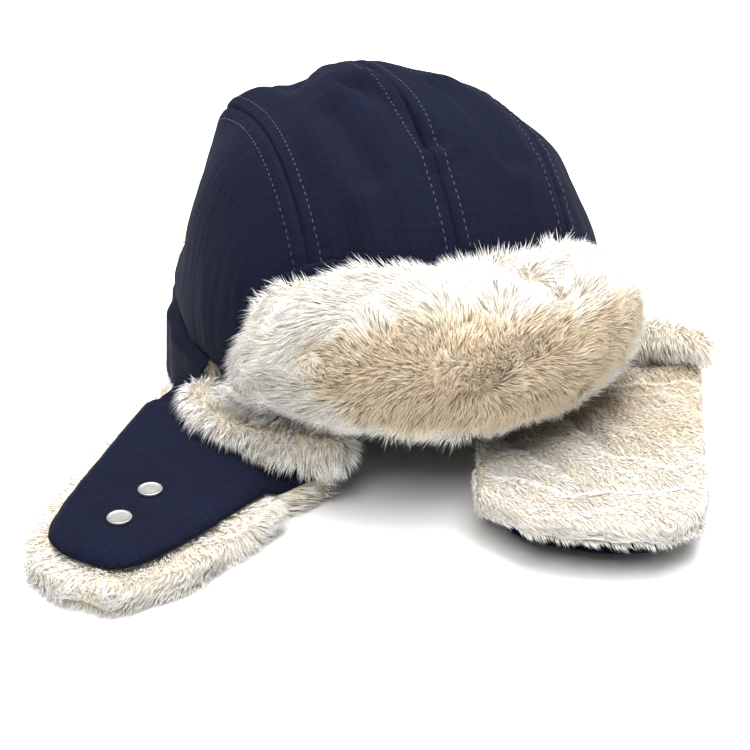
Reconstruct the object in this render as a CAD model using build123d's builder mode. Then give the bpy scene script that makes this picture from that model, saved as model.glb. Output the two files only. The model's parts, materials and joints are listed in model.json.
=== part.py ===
"""Trapper hat: padded cotton crown, folded-up fur brim, two ear flaps and a neck flap.

Units are millimetres. The front of the hat faces -Y, the wearer's right is -X and +Z is up.
The origin lies on the surface that the hat rests on, under the centre of the crown's rim.
"""

import os
from math import cos, radians, sin

from build123d import *

os.makedirs("parts", exist_ok=True)

# ---- crown -------------------------------------------------------------------------------
CROWN_HALF_WIDTH = 90.0
CROWN_HALF_DEPTH = 113.0
CROWN_HEIGHT = 103.0
RIM_Z = 35.0
SIDE_FULLNESS = 0.765  # height of the dome's upright control point, as a share of its height
TOP_FULLNESS = 0.51  # reach of the dome's level control point, as a share of its half depth
SQUASH = CROWN_HALF_WIDTH / CROWN_HALF_DEPTH
SIDE_SEAM_X = 54.0
SHELL = 1.2
LAYER_GAP = 0.1
CROWN_WADDING = 4.6
LINING = 1.5
SWEATBAND_HEIGHT = 25.0
SWEATBAND = 1.4

# ---- band under the rim ------------------------------------------------------------------
BAND_STAND_OFF = 2.0  # how far the band's top stands proud of the crown
BAND_FLARE = 2.5
BAND_FUR = 9.0
BAND_SHELL_BOTTOM = 3.0
TEMPLE_ANGLE = 74.0  # from the front, where the ear flaps begin

# ---- brim --------------------------------------------------------------------------------
BRIM_CLEARANCE = 0.8
BRIM_BOTTOM = 34.0
BRIM_TOP = 98.0
BRIM_BULGE = 24.0
BRIM_HALF_LENGTH = 86.0
BRIM_TOP_HALF_LENGTH = 34.0
BRIM_END_Y = -62.0
INTERLINING = 1.2

# ---- ear flaps and neck flap -------------------------------------------------------------
FLAP_THICKNESS = 18.0
FLAP_WADDING = 3.0
FUR_FRINGE = 9.0
FLAP_RADIUS = FLAP_THICKNESS / 2
FOLD_CLEARANCE = 0.6
RIGHT_HINGE_TURN = 20.0  # the right fold line, turned from straight fore and aft
RIGHT_HINGE_REACH = 119.0
LEFT_HINGE_TURN = 24.8  # the left flap's direction, turned from straight ahead
LEFT_FLAP_RISE = 2.5
NECK_THICKNESS = 16.0
NECK_HINGE_Y = 129.0
NECK_HALF_WIDTH = 56.0
NECK_LENGTH = 44.0
ROLL_RADIUS = 7.5

# ---- snaps -------------------------------------------------------------------------------
SNAP_RADIUS = 4.8
SNAP_CAP = 1.4
SNAP_POST_RADIUS = 1.6
SNAP_SOCKET = 3.6
SNAP_PITCH = 22.0
SNAP_PLAY = 0.1
SNAP_OUT = 52.0  # outer right snap, outwards from the flap's fold line
SNAP_ALONG = 61.8  # outer right snap, along the flap's fold line
SNAP_SLANT = radians(28.4)  # the row of right snaps, from square to the fold line
POCKET_PLAY = 0.2

FAR = 400.0  # longer than the hat, for trimming solids


def save(piece, label):
    """Labels a finished part and writes its STEP file."""
    piece.label = label
    export_step(piece, f"parts/{label}.step")


def turned(section):
    """A section turned round +Z and squashed sideways, so that it follows the crown's oval."""
    with BuildPart() as ring_part:
        add(section)
        revolve(axis=Axis.Z)
    return scale(ring_part.part, by=(SQUASH, 1, 1))


def dome_section(inset, bottom=RIM_Z):
    """Half the section of a dome, inset inside the crown's outside and upright below the rim."""
    radius = CROWN_HALF_DEPTH - inset
    top = RIM_Z + CROWN_HEIGHT - inset
    height = top - RIM_Z
    with BuildSketch(Plane.XZ) as section:
        with BuildLine():
            side = Bezier(
                (radius, RIM_Z),
                (radius, RIM_Z + SIDE_FULLNESS * height),
                (TOP_FULLNESS * radius, top),
                (0, top),
            )
            if bottom < RIM_Z:
                Polyline(side @ 1, (0, bottom), (radius, bottom), side @ 0)
            else:
                Polyline(side @ 1, (0, RIM_Z), side @ 0)
        make_face()
    return section.sketch


def shell_section(outer_inset, inner_inset, bottom=RIM_Z):
    """The section of one layer of cloth or padding between two insets."""
    outside = dome_section(outer_inset, bottom)
    inside = dome_section(inner_inset, bottom)
    with BuildSketch(Plane.XZ) as section:
        add(outside)
        add(inside, mode=Mode.SUBTRACT)
    return section.sketch


def ring(points):
    """An oval ring with a straight-sided section, given as (radius along Y, height) points."""
    with BuildSketch(Plane.XZ) as profile:
        with BuildLine():
            Polyline(*points, close=True)
        make_face()
    return turned(profile.sketch)


def oval_column(radius, bottom, top):
    """A solid oval column, for trimming things that stand outside it."""
    return ring([(0, bottom), (radius, bottom), (radius, top), (0, top)])


# ---- crown: shell, wadding and lining ------------------------------------------------------
wadding_inset = SHELL + LAYER_GAP
lining_inset = wadding_inset + CROWN_WADDING + LAYER_GAP
head_inset = lining_inset + LINING

PANELS = {
    "side_right": (-FAR, -SIDE_SEAM_X),
    "middle_right": (-SIDE_SEAM_X, 0),
    "middle_left": (0, SIDE_SEAM_X),
    "side_left": (SIDE_SEAM_X, FAR),
}
LAYERS = {
    "crown_panel": turned(shell_section(0, SHELL)),
    "lining_panel": turned(shell_section(lining_inset, head_inset)),
}
for layer, whole_layer in LAYERS.items():
    for place, (low, high) in PANELS.items():
        with BuildPart() as panel:
            add(whole_layer)
            split(bisect_by=Plane.YZ.offset(low), keep=Keep.TOP)
            split(bisect_by=Plane.YZ.offset(high), keep=Keep.BOTTOM)
        save(panel.part, f"{layer}_{place}")

crown_wadding = turned(shell_section(wadding_inset, wadding_inset + CROWN_WADDING))
save(crown_wadding, "crown_wadding")

sweatband_radius = CROWN_HALF_DEPTH - head_inset - 0.3
sweatband_lean = 2.4
sweatband = ring(
    [
        (sweatband_radius - SWEATBAND, RIM_Z),
        (sweatband_radius, RIM_Z),
        (sweatband_radius - sweatband_lean, RIM_Z + SWEATBAND_HEIGHT),
        (sweatband_radius - sweatband_lean - SWEATBAND, RIM_Z + SWEATBAND_HEIGHT),
    ]
)
save(sweatband, "sweatband")

# ---- ear and neck band ---------------------------------------------------------------------
temple_x = CROWN_HALF_WIDTH * sin(radians(TEMPLE_ANGLE))
temple_y = -CROWN_HALF_DEPTH * cos(radians(TEMPLE_ANGLE))
band_radius = CROWN_HALF_DEPTH + BAND_STAND_OFF
band_top = RIM_Z - LAYER_GAP
fur_radius = band_radius - SHELL - LAYER_GAP
band_shell_ring = ring(
    [
        (band_radius - SHELL, band_top),
        (band_radius, band_top),
        (band_radius + BAND_FLARE, BAND_SHELL_BOTTOM),
        (band_radius + BAND_FLARE - SHELL, BAND_SHELL_BOTTOM),
    ]
)
fur_round = 3.0
band_fur_ring = ring(
    [
        (fur_radius - BAND_FUR, band_top),
        (fur_radius, band_top),
        (fur_radius + BAND_FLARE, BAND_SHELL_BOTTOM),
        (fur_radius + BAND_FLARE - fur_round, 0),
        (fur_radius - BAND_FUR + fur_round, 0),
        (fur_radius - BAND_FUR, BAND_SHELL_BOTTOM),
    ]
)

with BuildPart() as front_gap:
    with BuildSketch():
        Polygon(
            (0, 0),
            (-2 * temple_x, 2 * temple_y),
            (-2 * temple_x, -FAR),
            (2 * temple_x, -FAR),
            (2 * temple_x, 2 * temple_y),
            align=None,
        )
    extrude(amount=RIM_Z)

# The left flap lies folded under the hat, along this plane, and the band stops above it.
left_turn = radians(LEFT_HINGE_TURN)
left_forward = Vector(-sin(left_turn), -cos(left_turn), 0)
left_across = Vector(cos(left_turn), -sin(left_turn), 0)
left_rise = radians(LEFT_FLAP_RISE)
left_tip_direction = left_forward * cos(left_rise) + Vector(0, 0, sin(left_rise))
left_normal = Vector(0, 0, cos(left_rise)) - left_forward * sin(left_rise)
left_plane = Plane(
    origin=(0, 0, FLAP_RADIUS), x_dir=left_tip_direction, z_dir=left_normal
)
left_room_side = FLAP_RADIUS + FOLD_CLEARANCE
with BuildPart() as left_flap_room:
    with BuildSketch(left_plane.offset(-2 * FLAP_RADIUS)):
        with BuildLine():
            Polyline(
                (-left_room_side, 20),
                (-left_room_side, 160),
                (180, 160),
                (180, 20),
                close=True,
            )
        make_face()
    extrude(amount=3 * FLAP_RADIUS + 1.0)

for label, solid in (
    ("ear_neck_band_shell", band_shell_ring),
    ("ear_neck_band_fur", band_fur_ring),
):
    with BuildPart() as band_piece:
        add(solid)
        add(front_gap.part, mode=Mode.SUBTRACT)
        add(left_flap_room.part, mode=Mode.SUBTRACT)
    save(band_piece.part, label)

# ---- brim ------------------------------------------------------------------------------------
brim_dome_inset = -BRIM_CLEARANCE
brim_shell_inset = brim_dome_inset - SHELL
brim_lining_inset = brim_shell_inset - LAYER_GAP
brim_fur_inset = brim_lining_inset - INTERLINING - LAYER_GAP

with BuildPart() as brim_outline:
    with BuildSketch(Plane.XZ):
        with BuildLine():
            corner = Spline(
                (BRIM_HALF_LENGTH, BRIM_BOTTOM),
                (BRIM_HALF_LENGTH - 3, BRIM_BOTTOM + 22),
                (BRIM_HALF_LENGTH - 21, BRIM_TOP - 13),
                (BRIM_TOP_HALF_LENGTH, BRIM_TOP),
            )
            mirror(corner, about=Plane.YZ)
            Line(corner @ 1, (-BRIM_TOP_HALF_LENGTH, BRIM_TOP))
            Line(corner @ 0, (-BRIM_HALF_LENGTH, BRIM_BOTTOM))
        make_face()
    extrude(amount=FAR)
    split(bisect_by=Plane.XZ.offset(-BRIM_END_Y), keep=Keep.TOP)


def brim_piece(section):
    """A layer of the brim, cut from its whole ring to the brim's outline."""
    whole = turned(section)
    with BuildPart() as piece:
        add(whole)
        add(brim_outline.part, mode=Mode.INTERSECT)
    return piece.part


save(brim_piece(shell_section(brim_shell_inset, brim_dome_inset, 0)), "brim_shell")
interlining_section = shell_section(brim_lining_inset - INTERLINING, brim_lining_inset, 0)
save(brim_piece(interlining_section), "brim_interlining")

brim_foot = CROWN_HALF_DEPTH - brim_fur_inset
fur_back = dome_section(brim_fur_inset, 0)
with BuildSketch(Plane.XZ) as brim_section:
    with BuildLine():
        front_line = Spline(
            (brim_foot + 4, BRIM_BOTTOM),
            (CROWN_HALF_DEPTH + 0.85 * BRIM_BULGE, BRIM_BOTTOM + 13),
            (CROWN_HALF_DEPTH + BRIM_BULGE, BRIM_BOTTOM + 30),
            (CROWN_HALF_DEPTH + 0.45 * BRIM_BULGE, BRIM_BOTTOM + 55),
            (CROWN_HALF_DEPTH - 0.25 * BRIM_BULGE, BRIM_TOP),
        )
        Polyline(front_line @ 1, (0, BRIM_TOP), (0, BRIM_BOTTOM), front_line @ 0)
    make_face()
    add(fur_back, mode=Mode.SUBTRACT)
save(brim_piece(brim_section.sketch), "brim_fur")


# ---- flaps -------------------------------------------------------------------------------------
def flap_envelope(plane, thickness):
    """All the room in front of a fold line, ended by a half round about the fold's axis."""
    with BuildPart() as envelope:
        with BuildSketch(plane.offset(-thickness / 2)):
            with BuildLine():
                Polyline((0, -FAR), (FAR, -FAR), (FAR, FAR), (0, FAR), close=True)
            make_face()
        extrude(amount=thickness)
        fold_plane = Plane(
            origin=plane.origin - plane.y_dir * FAR, x_dir=plane.x_dir, z_dir=plane.y_dir
        )
        with BuildSketch(fold_plane):
            Circle(thickness / 2)
        extrude(amount=2 * FAR)
    return envelope.part


def flap_layer(plane, outline, corner, grow, level, depth, envelope, holes=()):
    """One layer of a flap: its outline grown by grow, between two levels above the plane."""
    with BuildPart() as layer:
        with BuildSketch(plane.offset(level)) as shape:
            with BuildLine():
                Polyline(*outline, close=True)
            make_face()
            fillet(shape.vertices().sort_by(Axis.X)[2:], corner)
            if grow:
                offset(amount=grow, kind=Kind.ARC)
            for centre, radius in holes:
                with Locations(centre):
                    Circle(radius, mode=Mode.SUBTRACT)
        extrude(amount=depth)
        add(envelope, mode=Mode.INTERSECT)
    return layer.part


def discs(plane, centres, radius, level, depth, bore=0.0, post=0.0, post_depth=0.0, rounding=0.0):
    """Round snap pieces: discs with an optional bore, or with a post under each of them."""
    with BuildPart() as group:
        with BuildSketch(plane.offset(level)):
            with Locations(*centres):
                Circle(radius)
                if bore:
                    Circle(bore, mode=Mode.SUBTRACT)
        extrude(amount=depth)
        if rounding:
            rim = group.edges().filter_by(GeomType.CIRCLE).group_by(SortBy.RADIUS)[-1]
            fillet(rim, rounding)
        if post:
            with BuildSketch(plane.offset(level)):
                with Locations(*centres):
                    Circle(post)
            extrude(amount=-post_depth)
    return group.part


def with_pockets(layer, pockets):
    """A flap's fur with the room that its snap pieces take."""
    with BuildPart() as pocketed:
        add(layer)
        add(pockets, mode=Mode.SUBTRACT)
    return pocketed.part


# The right flap, with its cotton side up.
right_turn = radians(RIGHT_HINGE_TURN)
right_out = Vector(-cos(right_turn), -sin(right_turn), 0)
right_plane = Plane(
    origin=right_out * RIGHT_HINGE_REACH + Vector(0, 0, FLAP_RADIUS),
    x_dir=right_out,
    z_dir=(0, 0, 1),
)
RIGHT_OUTLINE = [
    (-12, -21),
    (-12, 72),
    (44, 88),
    (68, 86),
    (78, 69),
    (78, 53),
    (69, 40),
]
FLAP_CORNER = 9.0
top_of_shell = FLAP_RADIUS
top_of_wadding = top_of_shell - SHELL - LAYER_GAP
top_of_fur = top_of_wadding - FLAP_WADDING - LAYER_GAP
right_snaps = [
    (SNAP_OUT, SNAP_ALONG),
    (SNAP_OUT - SNAP_PITCH * cos(SNAP_SLANT), SNAP_ALONG - SNAP_PITCH * sin(SNAP_SLANT)),
]
post_holes = [(centre, SNAP_POST_RADIUS + SNAP_PLAY) for centre in right_snaps]
right_envelope = flap_envelope(right_plane, FLAP_THICKNESS)

right_shell = flap_layer(
    right_plane,
    RIGHT_OUTLINE,
    FLAP_CORNER,
    0,
    top_of_shell - SHELL,
    SHELL,
    right_envelope,
    post_holes,
)
save(right_shell, "right_flap_shell")
right_wadding = flap_layer(
    right_plane,
    RIGHT_OUTLINE,
    FLAP_CORNER,
    -1,
    top_of_wadding - FLAP_WADDING,
    FLAP_WADDING,
    right_envelope,
    post_holes,
)
save(right_wadding, "right_flap_wadding")
right_fur = flap_layer(
    right_plane,
    RIGHT_OUTLINE,
    FLAP_CORNER,
    FUR_FRINGE,
    -FLAP_RADIUS,
    FLAP_RADIUS + top_of_fur,
    right_envelope,
)
socket_pockets = discs(
    right_plane,
    right_snaps,
    SNAP_RADIUS + POCKET_PLAY,
    top_of_fur - SNAP_SOCKET - POCKET_PLAY,
    SNAP_SOCKET + 2 * POCKET_PLAY,
)
save(with_pockets(right_fur, socket_pockets), "right_flap_fur")
right_caps = discs(
    right_plane,
    right_snaps,
    SNAP_RADIUS,
    top_of_shell + 0.05,
    SNAP_CAP,
    post=SNAP_POST_RADIUS,
    post_depth=top_of_shell - top_of_fur,
    rounding=0.5,
)
save(right_caps, "right_flap_snap_caps")
right_sockets = discs(
    right_plane,
    right_snaps,
    SNAP_RADIUS,
    top_of_fur - SNAP_SOCKET,
    SNAP_SOCKET - SNAP_PLAY,
    bore=SNAP_POST_RADIUS + SNAP_PLAY,
)
save(right_sockets, "right_flap_snap_sockets")

# The left flap, folded under with its fur side up. Its tip stands a little off the surface.
LEFT_OUTLINE = [
    (-12, 56),
    (-12, 130),
    (128, 130),
    (141, 122),
    (146, 104),
    (143, 76),
    (130, 60),
]
left_shell_level = -FLAP_RADIUS
left_wadding_level = left_shell_level + SHELL + LAYER_GAP
left_fur_level = left_wadding_level + FLAP_WADDING + LAYER_GAP
left_snaps = [(120, 96), (120 - SNAP_PITCH, 96)]
left_post_holes = [(centre, SNAP_POST_RADIUS + SNAP_PLAY) for centre in left_snaps]
left_envelope = flap_envelope(left_plane, FLAP_THICKNESS)

left_shell = flap_layer(
    left_plane,
    LEFT_OUTLINE,
    FLAP_CORNER,
    0,
    left_shell_level,
    SHELL,
    left_envelope,
    left_post_holes,
)
save(left_shell, "left_flap_shell")
left_wadding = flap_layer(
    left_plane,
    LEFT_OUTLINE,
    FLAP_CORNER,
    -1,
    left_wadding_level,
    FLAP_WADDING,
    left_envelope,
    left_post_holes,
)
save(left_wadding, "left_flap_wadding")
left_fur = flap_layer(
    left_plane,
    LEFT_OUTLINE,
    FLAP_CORNER,
    FUR_FRINGE,
    left_fur_level,
    FLAP_RADIUS - left_fur_level,
    left_envelope,
)
disc_pockets = discs(
    left_plane,
    left_snaps,
    SNAP_RADIUS + POCKET_PLAY,
    left_fur_level - POCKET_PLAY,
    SNAP_CAP + 2 * POCKET_PLAY,
)
save(with_pockets(left_fur, disc_pockets), "left_flap_fur")
stud_depth = 1.2
stud_nose = 1.6
left_studs = discs(
    left_plane,
    left_snaps,
    SNAP_RADIUS,
    left_shell_level - 0.05,
    -stud_depth,
    post=SNAP_POST_RADIUS,
    post_depth=stud_depth + stud_nose,
)
save(left_studs, "left_flap_snap_studs")
left_posts = discs(
    left_plane,
    left_snaps,
    SNAP_RADIUS,
    left_fur_level + 0.05,
    SNAP_CAP,
    post=SNAP_POST_RADIUS,
    post_depth=left_fur_level - left_shell_level,
)
save(left_posts, "left_flap_snap_posts")

# The neck flap, lying out behind the hat with its cotton side up.
neck_radius = NECK_THICKNESS / 2
neck_plane = Plane(origin=(0, NECK_HINGE_Y, neck_radius), x_dir=(0, 1, 0), z_dir=(0, 0, 1))
NECK_OUTLINE = [
    (-12, -NECK_HALF_WIDTH),
    (-12, NECK_HALF_WIDTH),
    (NECK_LENGTH - 14, NECK_HALF_WIDTH - 4),
    (NECK_LENGTH, NECK_HALF_WIDTH - 22),
    (NECK_LENGTH, 22 - NECK_HALF_WIDTH),
    (NECK_LENGTH - 14, 4 - NECK_HALF_WIDTH),
]
neck_wadding_top = neck_radius - SHELL - LAYER_GAP
neck_fur_top = neck_wadding_top - FLAP_WADDING - LAYER_GAP
neck_envelope = flap_envelope(neck_plane, NECK_THICKNESS)
NECK_LAYERS = {
    "neck_flap_shell": (0, neck_radius - SHELL, SHELL),
    "neck_flap_wadding": (-1, neck_wadding_top - FLAP_WADDING, FLAP_WADDING),
    "neck_flap_fur": (FUR_FRINGE - 1, -neck_radius, neck_radius + neck_fur_top),
}
for label, (grow, level, depth) in NECK_LAYERS.items():
    layer = flap_layer(
        neck_plane, NECK_OUTLINE, FLAP_CORNER, grow, level, depth, neck_envelope
    )
    save(layer, label)

# ---- folds between the band and the flaps ----------------------------------------------------
band_outside = oval_column(band_radius + BAND_FLARE + 0.3, -1, 2 * RIM_Z)
FOLD_SHELF_TOP = 13.8


def flat_fold(points, plane, label):
    """The cloth and fur that run from the band out to a fold line, saved as two pieces."""
    levels = {
        f"{label}_fur": (0, FOLD_SHELF_TOP - SHELL - LAYER_GAP),
        f"{label}_shell": (FOLD_SHELF_TOP - SHELL, SHELL),
    }
    for name, (level, depth) in levels.items():
        with BuildPart() as fold:
            with BuildSketch(plane.offset(level)):
                with BuildLine():
                    Polyline(*points, close=True)
                make_face()
            extrude(amount=depth)
            add(band_outside, mode=Mode.SUBTRACT)
        save(fold.part, name)


right_fold_plane = Plane(origin=(0, 0, 0), x_dir=right_out, z_dir=(0, 0, 1))
right_fold_edge = RIGHT_HINGE_REACH - FLAP_RADIUS - FOLD_CLEARANCE
right_fold_points = [
    (80, -10),
    (80, 72),
    (right_fold_edge, 74),
    (right_fold_edge, -22),
    (96, -32),
]
flat_fold(right_fold_points, right_fold_plane, "right_ear_fold")

neck_fold_edge = NECK_HINGE_Y - neck_radius - FOLD_CLEARANCE
neck_fold_points = [
    (0, 80),
    (NECK_HALF_WIDTH + 8, 80),
    (NECK_HALF_WIDTH + 2, neck_fold_edge),
    (-NECK_HALF_WIDTH - 2, neck_fold_edge),
    (-NECK_HALF_WIDTH - 8, 80),
]
flat_fold(neck_fold_points, Plane.XY, "neck_fold")


def fur_roll(points, radius):
    """A soft roll of fur along a smooth line, with rounded ends."""
    with BuildPart() as roll:
        with BuildLine() as route:
            Spline(*points)
        line = route.line
        with BuildSketch(Plane(origin=line @ 0, z_dir=line % 0)):
            Circle(radius)
        sweep()
        for end in (0, 1):
            with Locations(line @ end):
                Sphere(radius)
    return roll.part


roll_level = FOLD_SHELF_TOP + ROLL_RADIUS + 0.6
RIGHT_ROLL = [
    (-92, -42, roll_level + 1),
    (-92.5, -54, roll_level),
    (-85.5, -71, roll_level),
    (-69, -88, roll_level),
    (-52, -96, roll_level),
]
save(fur_roll(RIGHT_ROLL, ROLL_RADIUS), "right_temple_fur_roll")

left_fold_slope = 14.0
slope = radians(left_fold_slope)
left_fold_out = Vector(0.78, -0.626, 0)
left_fold_plane = Plane(
    origin=(92, -22, 31),
    x_dir=left_fold_out * cos(slope) - Vector(0, 0, sin(slope)),
    z_dir=left_fold_out * sin(slope) + Vector(0, 0, cos(slope)),
)
LEFT_FOLD_LAYERS = {
    "left_ear_fold_fur": (-8, 7.9),
    "left_ear_fold_shell": (0, SHELL),
}
for label, (level, depth) in LEFT_FOLD_LAYERS.items():
    with BuildPart() as fold:
        with BuildSketch(left_fold_plane.offset(level)):
            with BuildLine():
                Polyline((-12, -10), (37, -8), (37, 26), (8, 42), (-12, 42), close=True)
            make_face()
        extrude(amount=depth)
        add(band_outside, mode=Mode.SUBTRACT)
        add(left_flap_room.part, mode=Mode.SUBTRACT)
    save(fold.part, label)

LEFT_ROLL = [(96, -52, 29.5), (108, -58, 28.5), (121, -64, 27.5)]
save(fur_roll(LEFT_ROLL, ROLL_RADIUS - 1), "left_temple_fur_roll")
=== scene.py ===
"""The looks of a trapper hat: navy ripstop crown, cream faux fur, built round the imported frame.

Units are metres. The front of the hat faces -Y, the wearer's right is -X and +Z is up.
"""

import json
from math import cos, pi, radians, sin, sqrt

import bpy
import numpy as np
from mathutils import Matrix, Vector
from mathutils.bvhtree import BVHTree
from mathutils.geometry import delaunay_2d_cdt
from mathutils.kdtree import KDTree


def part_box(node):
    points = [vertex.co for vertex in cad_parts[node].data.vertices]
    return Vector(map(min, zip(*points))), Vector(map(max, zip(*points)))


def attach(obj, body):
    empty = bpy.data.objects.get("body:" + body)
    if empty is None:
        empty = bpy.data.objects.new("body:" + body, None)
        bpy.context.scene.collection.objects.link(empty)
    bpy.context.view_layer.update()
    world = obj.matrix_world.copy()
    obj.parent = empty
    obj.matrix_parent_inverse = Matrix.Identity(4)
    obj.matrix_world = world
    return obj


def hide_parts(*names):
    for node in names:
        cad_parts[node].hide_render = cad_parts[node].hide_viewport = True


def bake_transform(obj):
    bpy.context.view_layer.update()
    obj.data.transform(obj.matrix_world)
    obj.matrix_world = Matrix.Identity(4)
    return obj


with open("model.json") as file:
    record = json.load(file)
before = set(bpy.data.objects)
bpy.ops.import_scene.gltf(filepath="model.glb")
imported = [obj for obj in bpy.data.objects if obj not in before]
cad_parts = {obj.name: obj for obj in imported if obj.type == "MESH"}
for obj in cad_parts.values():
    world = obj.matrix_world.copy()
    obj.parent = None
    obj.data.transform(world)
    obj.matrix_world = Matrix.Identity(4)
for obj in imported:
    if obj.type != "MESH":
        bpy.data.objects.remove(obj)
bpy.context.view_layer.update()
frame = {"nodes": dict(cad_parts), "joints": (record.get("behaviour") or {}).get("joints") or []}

MM = 0.001
LOWEST_FIBRE = 0.6 * MM

# ---- places read from the frame -----------------------------------------------------------
side_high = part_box("crown_panel_side_left")[1]
middle_low, middle_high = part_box("crown_panel_middle_left")
RIM_Z = middle_low.z
TOP_Z = middle_high.z
HALF_DEPTH = middle_high.y
HALF_WIDTH = side_high.x
SEAM_X = middle_high.x
SQUASH = HALF_WIDTH / HALF_DEPTH
SIDE_FULLNESS = 0.765  # the crown's section is a cubic curve with these two fullnesses
TOP_FULLNESS = 0.51
LINING_INSET = TOP_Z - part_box("lining_panel_middle_left")[1].z
JOINTS = {joint["name"]: joint for joint in frame["joints"]}


# ---- small helpers ------------------------------------------------------------------------
def unit(vectors):
    """Rows scaled to length 1."""
    return vectors / np.maximum(np.linalg.norm(vectors, axis=-1, keepdims=True), 1e-12)


def ripple(points, wavelength, seed, waves=9):
    """A smooth random field of about -1 to 1: plane waves of nearly one wavelength, added up."""
    draw = np.random.default_rng(seed)
    ways = unit(draw.normal(size=(waves, 3)))
    pitches = 2 * pi / wavelength * draw.uniform(0.6, 1.6, waves)
    phases = draw.uniform(0, 2 * pi, waves)
    return np.sin((points @ ways.T) * pitches + phases).sum(1) / sqrt(2 * waves)


def bell(distance, width):
    """1 at distance 0, falling smoothly to 0 over about two widths."""
    return np.exp(-((distance / width) ** 2))


def step(value, low, high):
    """0 below low, 1 above high, smooth between."""
    t = np.clip((value - low) / (high - low), 0, 1)
    return t * t * (3 - 2 * t)


def make_object(name, points, faces, materials, smooth=True):
    """A mesh object from arrays of points and of faces that all have the same number of corners."""
    mesh = bpy.data.meshes.new(name)
    faces = np.asarray(faces, np.int32)
    mesh.vertices.add(len(points))
    mesh.vertices.foreach_set("co", np.asarray(points, np.float32).ravel())
    mesh.loops.add(faces.size)
    mesh.polygons.add(len(faces))
    mesh.polygons.foreach_set("loop_start", np.arange(0, faces.size, faces.shape[1]))
    mesh.polygons.foreach_set("vertices", faces.ravel())
    mesh.update(calc_edges=True)
    mesh.polygons.foreach_set("use_smooth", np.full(len(faces), smooth))
    for material in materials:
        mesh.materials.append(material)
    piece = bpy.data.objects.new(name, mesh)
    bpy.context.scene.collection.objects.link(piece)
    return piece


def mesh_points(piece):
    """The piece's vertices as an array."""
    points = np.empty(len(piece.data.vertices) * 3, np.float32)
    piece.data.vertices.foreach_get("co", points)
    return points.reshape(-1, 3).astype(float)


def mesh_normals(piece):
    """The piece's vertex normals as an array."""
    normals = np.empty(len(piece.data.vertices) * 3, np.float32)
    piece.data.vertex_normals.foreach_get("vector", normals)
    return normals.reshape(-1, 3).astype(float)


def set_points(piece, points):
    """Moves the piece's vertices."""
    piece.data.vertices.foreach_set("co", np.asarray(points, np.float32).ravel())
    piece.data.update()


def set_cloth_map(piece, across, along):
    """Writes the cloth's own coordinates, in metres, as the UV map that the weave follows."""
    corners = np.empty(len(piece.data.loops), np.int32)
    piece.data.loops.foreach_get("vertex_index", corners)
    layer = piece.data.uv_layers.new(name="cloth")
    layer.data.foreach_set("uv", np.stack([across[corners], along[corners]], 1).astype(np.float32).ravel())


def thicken(piece, depth):
    """Gives an open surface the thickness of cloth, inwards."""
    solid = piece.modifiers.new("thickness", "SOLIDIFY")
    solid.thickness = depth
    solid.offset = -1
    apply_modifiers(piece)
    return piece


def apply_modifiers(piece):
    """Replaces the piece's mesh by the result of its modifiers."""
    graph = bpy.context.evaluated_depsgraph_get()
    mesh = bpy.data.meshes.new_from_object(piece.evaluated_get(graph))
    piece.modifiers.clear()
    piece.data = mesh


# ---- materials ----------------------------------------------------------------------------
class Nodes:
    """A material's node tree, with short calls for the nodes used here."""

    def __init__(self, name):
        self.material = bpy.data.materials.new(name)
        self.material.use_nodes = True
        self.tree = self.material.node_tree
        self.shader = self.tree.nodes["Principled BSDF"]

    def add(self, kind, inputs=(), **settings):
        node = self.tree.nodes.new(kind)
        for key, value in settings.items():
            setattr(node, key, value)
        for key, value in dict(inputs).items():
            if isinstance(value, bpy.types.NodeSocket):
                self.tree.links.new(value, node.inputs[key])
            else:
                node.inputs[key].default_value = value
        return node

    def math(self, operation, first, second=0.0):
        return self.add("ShaderNodeMath", {0: first, 1: second}, operation=operation).outputs[0]

    def noise(self, vector, scale, detail=3.0, roughness=0.6):
        values = {"Vector": vector, "Scale": scale, "Detail": detail, "Roughness": roughness}
        return self.add("ShaderNodeTexNoise", values).outputs["Fac"]

    def ramp(self, factor, stops):
        node = self.add("ShaderNodeValToRGB", {"Fac": factor})
        elements = node.color_ramp.elements
        while len(elements) < len(stops):
            elements.new(0.5)
        for element, (position, colour) in zip(elements, stops):
            element.position = position
            element.color = (*colour, 1)
        return node.outputs["Color"]

    def bump(self, height, strength, distance):
        values = {"Height": height, "Strength": strength, "Distance": distance}
        return self.add("ShaderNodeBump", values).outputs["Normal"]

    def finish(self, **sockets):
        for key, value in sockets.items():
            socket = self.shader.inputs[key.replace("_", " ")]
            if isinstance(value, bpy.types.NodeSocket):
                self.tree.links.new(value, socket)
            else:
                socket.default_value = value
        return self.material


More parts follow.
